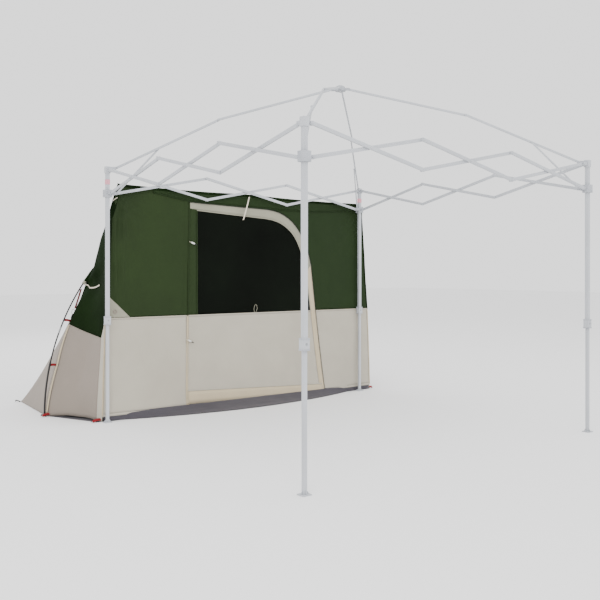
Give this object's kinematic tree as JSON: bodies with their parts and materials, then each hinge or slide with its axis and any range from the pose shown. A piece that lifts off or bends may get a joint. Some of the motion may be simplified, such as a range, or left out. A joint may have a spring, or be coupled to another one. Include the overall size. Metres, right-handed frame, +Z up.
{
  "type": "screen house",
  "caption": "Green and beige side tent with a mesh door window and a hoop pole, hung on one side of a folding canopy frame.",
  "frame": {"origin": "on the ground under the middle of the whole object", "axes": "+Z up, +X along the tent front from left to right, +Y from the open side of the frame towards the tent"},
  "size_m": [3.593, 4.583, 2.925],
  "materials": {
    "frame_steel": "light grey powder coat, satin",
    "frame_plastic": "light grey moulded nylon",
    "lock_button": "grey moulded push button",
    "tent_fabric": "dark green coated polyester, matte, with beige lower panels",
    "door_fabric": "beige coated polyester, matte",
    "window_mesh": "black insect mesh",
    "ground_sheet": "grey woven polyethylene",
    "hoop_pole": "black glass fibre rod"
  },
  "bodies": {
    "tent_and_leg_a": {"leg_a_outer": "frame_steel", "front_wall": "tent_fabric", "canopy_skin": "tent_fabric", "rear_wall": "tent_fabric", "ground_sheet": "ground_sheet", "hoop_pole": "hoop_pole"},
    "door": {"door_panel": "door_fabric", "door_window_mesh": "window_mesh"},
    "leg_b_upper": {"leg_b_outer": "frame_steel"},
    "leg_c_upper": {"leg_c_outer": "frame_steel"},
    "leg_d_upper": {"leg_d_outer": "frame_steel"},
    "leg_a_lower": {"leg_a_inner": "frame_steel"},
    "lock_button_a": {"leg_a_lock_button": "lock_button"},
    "slider_a_body": {"slider_a": "frame_plastic"},
    "rafter_a_lower_body": {"rafter_a_lower": "frame_steel"},
    "rafter_a_upper_body": {"rafter_a_upper": "frame_steel"},
    "strut_a_body": {"strut_a": "frame_steel"},
    "leg_b_lower": {"leg_b_inner": "frame_steel"},
    "lock_button_b": {"leg_b_lock_button": "lock_button"},
    "slider_b_body": {"slider_b": "frame_plastic"},
    "rafter_b_lower_body": {"rafter_b_lower": "frame_steel"},
    "rafter_b_upper_body": {"rafter_b_upper": "frame_steel"},
    "strut_b_body": {"strut_b": "frame_steel"},
    "leg_c_lower": {"leg_c_inner": "frame_steel"},
    "lock_button_c": {"leg_c_lock_button": "lock_button"},
    "slider_c_body": {"slider_c": "frame_plastic"},
    "rafter_c_lower_body": {"rafter_c_lower": "frame_steel"},
    "rafter_c_upper_body": {"rafter_c_upper": "frame_steel"},
    "strut_c_body": {"strut_c": "frame_steel"},
    "leg_d_lower": {"leg_d_inner": "frame_steel"},
    "lock_button_d": {"leg_d_lock_button": "lock_button"},
    "slider_d_body": {"slider_d": "frame_plastic"},
    "rafter_d_lower_body": {"rafter_d_lower": "frame_steel"},
    "rafter_d_upper_body": {"rafter_d_upper": "frame_steel"},
    "strut_d_body": {"strut_d": "frame_steel"},
    "hub_body": {"roof_hub": "frame_plastic"},
    "truss_ad_down_1_body": {"truss_ad_down_1": "frame_steel"},
    "truss_ad_up_1_body": {"truss_ad_up_1": "frame_steel"},
    "truss_ad_down_2_body": {"truss_ad_down_2": "frame_steel"},
    "truss_ad_up_2_body": {"truss_ad_up_2": "frame_steel"},
    "truss_ad_down_3_body": {"truss_ad_down_3": "frame_steel"},
    "truss_ad_up_3_body": {"truss_ad_up_3": "frame_steel"},
    "truss_ab_down_1_body": {"truss_ab_down_1": "frame_steel"},
    "truss_ab_up_1_body": {"truss_ab_up_1": "frame_steel"},
    "truss_ab_down_2_body": {"truss_ab_down_2": "frame_steel"},
    "truss_ab_up_2_body": {"truss_ab_up_2": "frame_steel"},
    "truss_ab_down_3_body": {"truss_ab_down_3": "frame_steel"},
    "truss_ab_up_3_body": {"truss_ab_up_3": "frame_steel"},
    "truss_bc_down_1_body": {"truss_bc_down_1": "frame_steel"},
    "truss_bc_up_1_body": {"truss_bc_up_1": "frame_steel"},
    "truss_bc_down_2_body": {"truss_bc_down_2": "frame_steel"},
    "truss_bc_up_2_body": {"truss_bc_up_2": "frame_steel"},
    "truss_bc_down_3_body": {"truss_bc_down_3": "frame_steel"},
    "truss_bc_up_3_body": {"truss_bc_up_3": "frame_steel"},
    "truss_dc_down_1_body": {"truss_dc_down_1": "frame_steel"},
    "truss_dc_up_1_body": {"truss_dc_up_1": "frame_steel"},
    "truss_dc_down_2_body": {"truss_dc_down_2": "frame_steel"},
    "truss_dc_up_2_body": {"truss_dc_up_2": "frame_steel"},
    "truss_dc_down_3_body": {"truss_dc_down_3": "frame_steel"},
    "truss_dc_up_3_body": {"truss_dc_up_3": "frame_steel"}
  },
  "joints": [
    {"name": "frame_fold", "type": "hinge", "parent": "tent_and_leg_a", "child": "truss_ad_down_1_body", "pos_m": [-1.406, 0.6615, 2.223], "axis": [0, 1, 0], "range_deg": [0, 74], "deforming": ["front_wall", "canopy_skin", "rear_wall", "ground_sheet", "hoop_pole", "door_panel", "door_window_mesh"]},
    {"name": "ad_cross_1_pivot", "type": "hinge", "parent": "truss_ad_down_1_body", "child": "truss_ad_up_1_body", "pos_m": [-0.93733, 0.6615, 2.121], "axis": [0, -1, 0], "range_deg": [0, 148]},
    {"name": "ad_low_1_pivot", "type": "hinge", "parent": "truss_ad_down_1_body", "child": "truss_ad_up_2_body", "pos_m": [-0.46867, 0.6615, 2.019], "axis": [0, -1, 0], "range_deg": [0, 148]},
    {"name": "ad_cross_2_pivot", "type": "hinge", "parent": "truss_ad_up_2_body", "child": "truss_ad_down_2_body", "pos_m": [0, 0.6615, 2.121], "axis": [0, 1, 0], "range_deg": [0, 148]},
    {"name": "ad_low_2_pivot", "type": "hinge", "parent": "truss_ad_down_2_body", "child": "truss_ad_up_3_body", "pos_m": [0.46867, 0.6615, 2.019], "axis": [0, -1, 0], "range_deg": [0, 148]},
    {"name": "ad_cross_3_pivot", "type": "hinge", "parent": "truss_ad_up_3_body", "child": "truss_ad_down_3_body", "pos_m": [0.93733, 0.6615, 2.121], "axis": [0, 1, 0], "range_deg": [0, 148]},
    {"name": "ad_leg_d_pivot", "type": "hinge", "parent": "truss_ad_up_3_body", "child": "leg_d_upper", "pos_m": [1.406, 0.6615, 2.223], "axis": [0, 1, 0], "range_deg": [0, 74]},
    {"name": "ad_slider_a_pivot", "type": "hinge", "parent": "truss_ad_up_1_body", "child": "slider_a_body", "pos_m": [-1.406, 0.6615, 2.019], "axis": [0, 1, 0], "range_deg": [0, 74]},
    {"name": "ad_slider_d_pivot", "type": "hinge", "parent": "truss_ad_down_3_body", "child": "slider_d_body", "pos_m": [1.406, 0.6615, 2.019], "axis": [0, -1, 0], "range_deg": [0, 74]},
    {"name": "ab_down_1_pivot", "type": "hinge", "parent": "tent_and_leg_a", "child": "truss_ab_down_1_body", "pos_m": [-1.46, 0.6075, 2.223], "axis": [1, 0, 0], "range_deg": [0, 74]},
    {"name": "ab_cross_1_pivot", "type": "hinge", "parent": "truss_ab_down_1_body", "child": "truss_ab_up_1_body", "pos_m": [-1.46, 0.13883, 2.121], "axis": [-1, 0, 0], "range_deg": [0, 148]},
    {"name": "ab_low_1_pivot", "type": "hinge", "parent": "truss_ab_down_1_body", "child": "truss_ab_up_2_body", "pos_m": [-1.46, -0.32983, 2.019], "axis": [-1, 0, 0], "range_deg": [0, 148]},
    {"name": "ab_cross_2_pivot", "type": "hinge", "parent": "truss_ab_up_2_body", "child": "truss_ab_down_2_body", "pos_m": [-1.46, -0.7985, 2.121], "axis": [1, 0, 0], "range_deg": [0, 148]},
    {"name": "ab_low_2_pivot", "type": "hinge", "parent": "truss_ab_down_2_body", "child": "truss_ab_up_3_body", "pos_m": [-1.46, -1.26717, 2.019], "axis": [-1, 0, 0], "range_deg": [0, 148]},
    {"name": "ab_cross_3_pivot", "type": "hinge", "parent": "truss_ab_up_3_body", "child": "truss_ab_down_3_body", "pos_m": [-1.46, -1.73583, 2.121], "axis": [1, 0, 0], "range_deg": [0, 148]},
    {"name": "ab_leg_b_pivot", "type": "hinge", "parent": "truss_ab_up_3_body", "child": "leg_b_upper", "pos_m": [-1.46, -2.2045, 2.223], "axis": [1, 0, 0], "range_deg": [0, 74]},
    {"name": "ab_slider_b_pivot", "type": "hinge", "parent": "truss_ab_down_3_body", "child": "slider_b_body", "pos_m": [-1.46, -2.2045, 2.019], "axis": [-1, 0, 0], "range_deg": [0, 74]},
    {"name": "bc_down_1_pivot", "type": "hinge", "parent": "leg_b_upper", "child": "truss_bc_down_1_body", "pos_m": [-1.406, -2.2585, 2.223], "axis": [0, 1, 0], "range_deg": [0, 74]},
    {"name": "bc_cross_1_pivot", "type": "hinge", "parent": "truss_bc_down_1_body", "child": "truss_bc_up_1_body", "pos_m": [-0.93733, -2.2585, 2.121], "axis": [0, -1, 0], "range_deg": [0, 148]},
    {"name": "bc_low_1_pivot", "type": "hinge", "parent": "truss_bc_down_1_body", "child": "truss_bc_up_2_body", "pos_m": [-0.46867, -2.2585, 2.019], "axis": [0, -1, 0], "range_deg": [0, 148]},
    {"name": "bc_cross_2_pivot", "type": "hinge", "parent": "truss_bc_up_2_body", "child": "truss_bc_down_2_body", "pos_m": [0, -2.2585, 2.121], "axis": [0, 1, 0], "range_deg": [0, 148]},
    {"name": "bc_low_2_pivot", "type": "hinge", "parent": "truss_bc_down_2_body", "child": "truss_bc_up_3_body", "pos_m": [0.46867, -2.2585, 2.019], "axis": [0, -1, 0], "range_deg": [0, 148]},
    {"name": "bc_cross_3_pivot", "type": "hinge", "parent": "truss_bc_up_3_body", "child": "truss_bc_down_3_body", "pos_m": [0.93733, -2.2585, 2.121], "axis": [0, 1, 0], "range_deg": [0, 148]},
    {"name": "bc_leg_c_pivot", "type": "hinge", "parent": "truss_bc_up_3_body", "child": "leg_c_upper", "pos_m": [1.406, -2.2585, 2.223], "axis": [0, 1, 0], "range_deg": [0, 74]},
    {"name": "bc_slider_c_pivot", "type": "hinge", "parent": "truss_bc_down_3_body", "child": "slider_c_body", "pos_m": [1.406, -2.2585, 2.019], "axis": [0, -1, 0], "range_deg": [0, 74]},
    {"name": "dc_down_1_pivot", "type": "hinge", "parent": "leg_d_upper", "child": "truss_dc_down_1_body", "pos_m": [1.46, 0.6075, 2.223], "axis": [1, 0, 0], "range_deg": [0, 74]},
    {"name": "dc_cross_1_pivot", "type": "hinge", "parent": "truss_dc_down_1_body", "child": "truss_dc_up_1_body", "pos_m": [1.46, 0.13883, 2.121], "axis": [-1, 0, 0], "range_deg": [0, 148]},
    {"name": "dc_low_1_pivot", "type": "hinge", "parent": "truss_dc_down_1_body", "child": "truss_dc_up_2_body", "pos_m": [1.46, -0.32983, 2.019], "axis": [-1, 0, 0], "range_deg": [0, 148]},
    {"name": "dc_cross_2_pivot", "type": "hinge", "parent": "truss_dc_up_2_body", "child": "truss_dc_down_2_body", "pos_m": [1.46, -0.7985, 2.121], "axis": [1, 0, 0], "range_deg": [0, 148]},
    {"name": "dc_low_2_pivot", "type": "hinge", "parent": "truss_dc_down_2_body", "child": "truss_dc_up_3_body", "pos_m": [1.46, -1.26717, 2.019], "axis": [-1, 0, 0], "range_deg": [0, 148]},
    {"name": "dc_cross_3_pivot", "type": "hinge", "parent": "truss_dc_up_3_body", "child": "truss_dc_down_3_body", "pos_m": [1.46, -1.73583, 2.121], "axis": [1, 0, 0], "range_deg": [0, 148]},
    {"name": "rafter_a_pivot", "type": "hinge", "parent": "tent_and_leg_a", "child": "rafter_a_lower_body", "pos_m": [-1.4105, 0.612, 2.24], "axis": [0.7071, 0.7071, 0], "range_deg": [0, 111.79]},
    {"name": "rafter_a_knuckle", "type": "hinge", "parent": "rafter_a_lower_body", "child": "rafter_a_upper_body", "pos_m": [-0.75289, -0.04561, 2.65], "axis": [-0.7071, -0.7071, 0], "range_deg": [0, 186.38]},
    {"name": "hub_pivot", "type": "hinge", "parent": "rafter_a_upper_body", "child": "hub_body", "pos_m": [-0.0495, -0.749, 2.89], "axis": [0.7071, 0.7071, 0], "range_deg": [0, 74.59]},
    {"name": "strut_a_pivot", "type": "hinge", "parent": "rafter_a_lower_body", "child": "strut_a_body", "pos_m": [-1.13539, 0.33689, 2.41153], "axis": [-0.7071, -0.7071, 0], "range_deg": [0, 155.14]},
    {"name": "rafter_b_pivot", "type": "hinge", "parent": "leg_b_upper", "child": "rafter_b_lower_body", "pos_m": [-1.4105, -2.209, 2.24], "axis": [-0.7071, 0.7071, 0], "range_deg": [0, 111.79]},
    {"name": "rafter_b_hub_pivot", "type": "hinge", "parent": "hub_body", "child": "rafter_b_upper_body", "pos_m": [-0.0495, -0.848, 2.89], "axis": [0.7071, -0.7071, 0], "range_deg": [0, 74.59]},
    {"name": "strut_b_pivot", "type": "hinge", "parent": "rafter_b_lower_body", "child": "strut_b_body", "pos_m": [-1.13539, -1.93389, 2.41153], "axis": [0.7071, -0.7071, 0], "range_deg": [0, 155.14]},
    {"name": "rafter_c_pivot", "type": "hinge", "parent": "leg_c_upper", "child": "rafter_c_lower_body", "pos_m": [1.4105, -2.209, 2.24], "axis": [-0.7071, -0.7071, 0], "range_deg": [0, 111.79]},
    {"name": "rafter_c_hub_pivot", "type": "hinge", "parent": "hub_body", "child": "rafter_c_upper_body", "pos_m": [0.0495, -0.848, 2.89], "axis": [0.7071, 0.7071, 0], "range_deg": [0, 74.59]},
    {"name": "strut_c_pivot", "type": "hinge", "parent": "rafter_c_lower_body", "child": "strut_c_body", "pos_m": [1.13539, -1.93389, 2.41153], "axis": [0.7071, 0.7071, 0], "range_deg": [0, 155.14]},
    {"name": "rafter_d_pivot", "type": "hinge", "parent": "leg_d_upper", "child": "rafter_d_lower_body", "pos_m": [1.4105, 0.612, 2.24], "axis": [0.7071, -0.7071, 0], "range_deg": [0, 111.79]},
    {"name": "rafter_d_hub_pivot", "type": "hinge", "parent": "hub_body", "child": "rafter_d_upper_body", "pos_m": [0.0495, -0.749, 2.89], "axis": [-0.7071, 0.7071, 0], "range_deg": [0, 74.59]},
    {"name": "strut_d_pivot", "type": "hinge", "parent": "rafter_d_lower_body", "child": "strut_d_body", "pos_m": [1.13539, 0.33689, 2.41153], "axis": [-0.7071, 0.7071, 0], "range_deg": [0, 155.14]},
    {"name": "leg_a_slide", "type": "slide", "parent": "tent_and_leg_a", "child": "leg_a_lower", "axis": [0, 0, 1], "range_m": [0, 0.8]},
    {"name": "lock_button_a_press", "type": "slide", "parent": "tent_and_leg_a", "child": "lock_button_a", "axis": [0, 1, 0], "range_m": [0, 0.0025], "stiffness_N_per_m": 800},
    {"name": "leg_b_slide", "type": "slide", "parent": "leg_b_upper", "child": "leg_b_lower", "axis": [0, 0, 1], "range_m": [0, 0.8]},
    {"name": "lock_button_b_press", "type": "slide", "parent": "leg_b_upper", "child": "lock_button_b", "axis": [0, 1, 0], "range_m": [0, 0.0025], "stiffness_N_per_m": 800},
    {"name": "leg_c_slide", "type": "slide", "parent": "leg_c_upper", "child": "leg_c_lower", "axis": [0, 0, 1], "range_m": [0, 0.8]},
    {"name": "lock_button_c_press", "type": "slide", "parent": "leg_c_upper", "child": "lock_button_c", "axis": [0, 1, 0], "range_m": [0, 0.0025], "stiffness_N_per_m": 800},
    {"name": "leg_d_slide", "type": "slide", "parent": "leg_d_upper", "child": "leg_d_lower", "axis": [0, 0, 1], "range_m": [0, 0.8]},
    {"name": "lock_button_d_press", "type": "slide", "parent": "leg_d_upper", "child": "lock_button_d", "axis": [0, 1, 0], "range_m": [0, 0.0025], "stiffness_N_per_m": 800},
    {"name": "door_hinge", "type": "hinge", "parent": "tent_and_leg_a", "child": "door", "pos_m": [-0.66, 0.703, 1], "axis": [0, 0, -1], "range_deg": [0, 120]}
  ],
  "couplings": [
    {"joint": "ad_cross_1_pivot", "follows": "frame_fold", "ratio": 2},
    {"joint": "ad_low_1_pivot", "follows": "frame_fold", "ratio": 2},
    {"joint": "ad_cross_2_pivot", "follows": "frame_fold", "ratio": 2},
    {"joint": "ad_low_2_pivot", "follows": "frame_fold", "ratio": 2},
    {"joint": "ad_cross_3_pivot", "follows": "frame_fold", "ratio": 2},
    {"joint": "ad_leg_d_pivot", "follows": "frame_fold", "ratio": 1},
    {"joint": "ad_slider_a_pivot", "follows": "frame_fold", "ratio": 1},
    {"joint": "ad_slider_d_pivot", "follows": "frame_fold", "ratio": 1},
    {"joint": "ab_down_1_pivot", "follows": "frame_fold", "ratio": 1},
    {"joint": "ab_cross_1_pivot", "follows": "frame_fold", "ratio": 2},
    {"joint": "ab_low_1_pivot", "follows": "frame_fold", "ratio": 2},
    {"joint": "ab_cross_2_pivot", "follows": "frame_fold", "ratio": 2},
    {"joint": "ab_low_2_pivot", "follows": "frame_fold", "ratio": 2},
    {"joint": "ab_cross_3_pivot", "follows": "frame_fold", "ratio": 2},
    {"joint": "ab_leg_b_pivot", "follows": "frame_fold", "ratio": 1},
    {"joint": "ab_slider_b_pivot", "follows": "frame_fold", "ratio": 1},
    {"joint": "bc_down_1_pivot", "follows": "frame_fold", "ratio": 1},
    {"joint": "bc_cross_1_pivot", "follows": "frame_fold", "ratio": 2},
    {"joint": "bc_low_1_pivot", "follows": "frame_fold", "ratio": 2},
    {"joint": "bc_cross_2_pivot", "follows": "frame_fold", "ratio": 2},
    {"joint": "bc_low_2_pivot", "follows": "frame_fold", "ratio": 2},
    {"joint": "bc_cross_3_pivot", "follows": "frame_fold", "ratio": 2},
    {"joint": "bc_leg_c_pivot", "follows": "frame_fold", "ratio": 1},
    {"joint": "bc_slider_c_pivot", "follows": "frame_fold", "ratio": 1},
    {"joint": "dc_down_1_pivot", "follows": "frame_fold", "ratio": 1},
    {"joint": "dc_cross_1_pivot", "follows": "frame_fold", "ratio": 2},
    {"joint": "dc_low_1_pivot", "follows": "frame_fold", "ratio": 2},
    {"joint": "dc_cross_2_pivot", "follows": "frame_fold", "ratio": 2},
    {"joint": "dc_low_2_pivot", "follows": "frame_fold", "ratio": 2},
    {"joint": "dc_cross_3_pivot", "follows": "frame_fold", "ratio": 2},
    {"joint": "rafter_a_pivot", "follows": "frame_fold", "ratio": 1.5107},
    {"joint": "rafter_a_knuckle", "follows": "frame_fold", "ratio": 2.5186},
    {"joint": "hub_pivot", "follows": "frame_fold", "ratio": 1.008},
    {"joint": "strut_a_pivot", "follows": "frame_fold", "ratio": 2.0965},
    {"joint": "rafter_b_pivot", "follows": "frame_fold", "ratio": 1.5107},
    {"joint": "rafter_b_hub_pivot", "follows": "frame_fold", "ratio": 1.008},
    {"joint": "strut_b_pivot", "follows": "frame_fold", "ratio": 2.0965},
    {"joint": "rafter_c_pivot", "follows": "frame_fold", "ratio": 1.5107},
    {"joint": "rafter_c_hub_pivot", "follows": "frame_fold", "ratio": 1.008},
    {"joint": "strut_c_pivot", "follows": "frame_fold", "ratio": 2.0965},
    {"joint": "rafter_d_pivot", "follows": "frame_fold", "ratio": 1.5107},
    {"joint": "rafter_d_hub_pivot", "follows": "frame_fold", "ratio": 1.008},
    {"joint": "strut_d_pivot", "follows": "frame_fold", "ratio": 2.0965}
  ]
}
